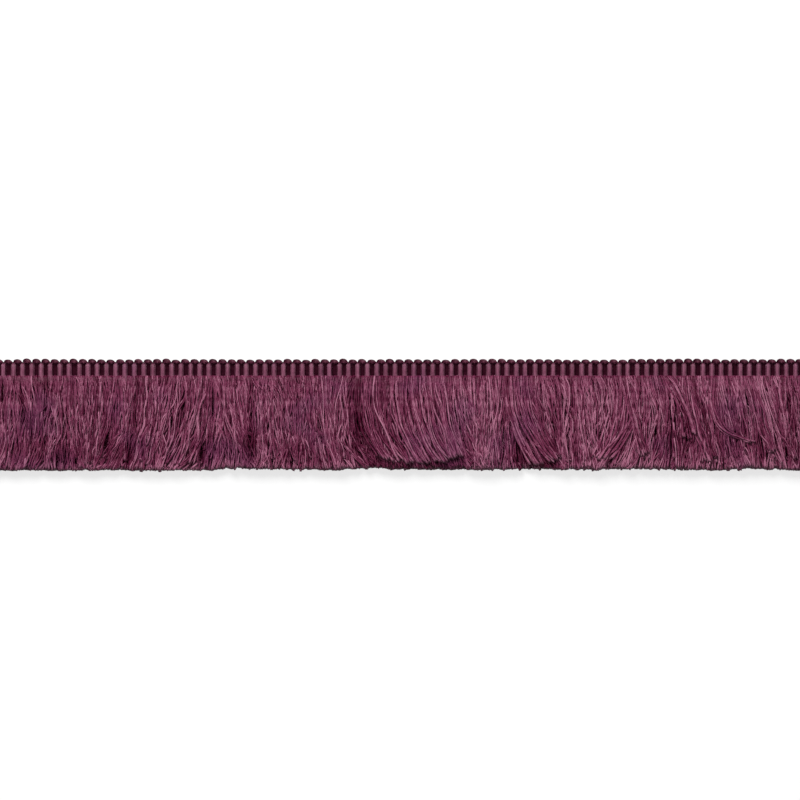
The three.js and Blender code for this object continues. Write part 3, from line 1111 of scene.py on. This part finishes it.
# Looped edge: each loop leaves the top of the rib on its right, arches over a dark core and dives
# behind the rib on its left; a binding yarn closes the gap between the loops and the ribs. Cores
# and
# binding yarns are near black: partly their own dark yarn, partly painted shade inside and under
# the loops
loops = {
    "yarns": 5,
    "radius": 0.25,
    "stations": 11,
    "placing": 0.05,
    "shift": 0.1,  # how far to the left of the middle between two ribs
    "outer": 1.34,
    "inner": 0.25,
    "slant": 0.25,
    "footY": 17.87,
    "footDrop": 0.2,  # how much lower a loop starts than it ends
    "dropPower": 4,
    "rise": 1.03,
    "archPower": 0.7,
    "sizeSpread": 0.09,
    "uneven": 0.12,
    "unevenLength": 14.0,
    "frontZ": 2.0,
    "backZ": 0.6,
    "divePower": 1.6,
    "archZ": 0.3,
    "outerDrop": 0.35,
    "shade": 0.55,
    "shadeSpread": 0.12,
    "outerShade": 0.1,
    # painted highlight: a loop is painted lighter at the foot where it leaves the rib
    "front": 0.15,  # how much lighter a loop is where it starts than where it dives
}
core = {
    "size": (1.25, 0.92, 0.75),
    "segments": (10, 6),
    "z": 1.05,
    "bindingY": 17.95,
    "bindingZ": 2.1,
    "bindingRadius": 0.18,
    "bindingSides": 8,
    "mottleScale": 1400.0,
    "bump": (0.6, 0.08),
    # near black: partly the cores' own dark yarn, partly painted shade for the shade inside and
    # under the loops
    "stops": [(0.3, (0.024, 0.004, 0.009)), (0.7, (0.060, 0.012, 0.027))],
    "finish": {"roughness": 0.8, "specular": 0.0},
}


def loopYarns():
    rng = np.random.default_rng(seeds["loops"])
    centres = -trim["end"] + np.arange(1, ribCount) * trim["ribPitch"]
    centres = centres + rng.normal(0, loops["placing"], ribCount - 1) - loops["shift"]
    paths, shades = [], []
    turn = np.linspace(0, math.pi, loops["stations"])
    for centre in centres:
        size = rng.normal(1, loops["sizeSpread"])
        low = loops["uneven"] * drift(centre, loops["unevenLength"], seeds["loopTops"])
        for yarn in range(loops["yarns"]):
            share = yarn / (loops["yarns"] - 1)
            reach = loops["inner"] + (loops["outer"] - loops["inner"]) * share
            x = centre + reach * np.cos(turn) - loops["slant"] * np.sin(turn)
            rise = size * (loops["rise"] * reach / loops["outer"])
            y = loops["footY"] + rise * np.sin(turn) ** loops["archPower"]
            y = y - low - loops["footDrop"] * np.maximum(np.cos(turn), 0) ** loops["dropPower"]
            dive = (turn / math.pi) ** loops["divePower"]
            z = loops["frontZ"] + (loops["backZ"] - loops["frontZ"]) * dive
            z = z + loops["archZ"] * np.sin(turn) - loops["outerDrop"] * share
            paths.append(np.stack([x, y, z], axis=1))
            shade = loops["shade"] + rng.normal(0, loops["shadeSpread"])
            shades.append(shade - loops["outerShade"] * share + loops["front"] * np.cos(turn))
    paths = np.array(paths)
    return paths, np.full(paths.shape[:2], loops["radius"]), np.clip(shades, 0, 1)


def loopCores():
    cores = bmesh.new()
    around, high = core["segments"]
    for number in range(1, ribCount):
        x = number * trim["ribPitch"] - trim["end"] - loops["shift"]
        place = Vector((x, loops["footY"], core["z"]))
        made = bmesh.ops.create_uvsphere(cores, u_segments=around, v_segments=high, radius=mm)
        bmesh.ops.scale(cores, vec=core["size"], verts=made["verts"])
        bmesh.ops.translate(cores, vec=place * mm, verts=made["verts"])
    lying = Matrix.Rotation(math.pi / 2, 3, "Y")
    radius = core["bindingRadius"] * mm
    length = (2 * trim["end"] - trim["ribPitch"]) * mm
    for level in (loops["backZ"], core["bindingZ"]):
        made = bmesh.ops.create_cone(
            cores, segments=core["bindingSides"], radius1=radius, radius2=radius, depth=length,
            cap_ends=True,
        )
        bmesh.ops.rotate(cores, cent=(0, 0, 0), matrix=lying, verts=made["verts"])
        place = Vector((0, core["bindingY"], level)) * mm
        bmesh.ops.translate(cores, vec=place, verts=made["verts"])
    mesh = bpy.data.meshes.new("loopCores")
    cores.to_mesh(mesh)
    cores.free()
    mesh.shade_smooth()
    piece = bpy.data.objects.new("loopCores", mesh)
    bpy.context.collection.objects.link(piece)
    material, shader, wire = newMaterial("loopCore", core["finish"])
    place = wire.make("ShaderNodeTexCoord", out="Object")
    spotted = {"Vector": place, "Scale": core["mottleScale"]}
    mottle = wire.make("ShaderNodeTexNoise", {}, spotted)
    plug(mottle.ramp(core["stops"]), shader, "Base Color")
    strength, depth = core["bump"]
    plug(mottle.bumped(strength, depth * mm), shader, "Normal")
    mesh.materials.append(material)
    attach(piece, "root")


loopMaterial = yarnMaterial("loopYarn", loopFinish)
loopPiece = strandMesh("loopYarns", *loopYarns(), sides=5, material=loopMaterial)
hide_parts("loop_edge")
loopCores()
print("the loops are laid")

# Floor
floorMesh = bpy.data.meshes.new("floor")
floorShape = bmesh.new()
bmesh.ops.create_grid(floorShape, x_segments=1, y_segments=1, size=studio["floorSize"] / 2)
floorShape.to_mesh(floorMesh)
floorShape.free()
floor = bpy.data.objects.new("floor", floorMesh)
bpy.context.collection.objects.link(floor)
floorMaterial = bpy.data.materials.new("floor")
floorMaterial.use_nodes = True
floorShader = floorMaterial.node_tree.nodes["Principled BSDF"]
floorShader.inputs["Base Color"].default_value = studio["floorColour"]
floorShader.inputs["Roughness"].default_value = studio["floorRoughness"]
floorShader.inputs["Specular IOR Level"].default_value = 0.0
floorShader.inputs["Emission Color"].default_value = (1, 1, 1, 1)
floorShader.inputs["Emission Strength"].default_value = studio["floorGlow"]
floorMesh.materials.append(floorMaterial)
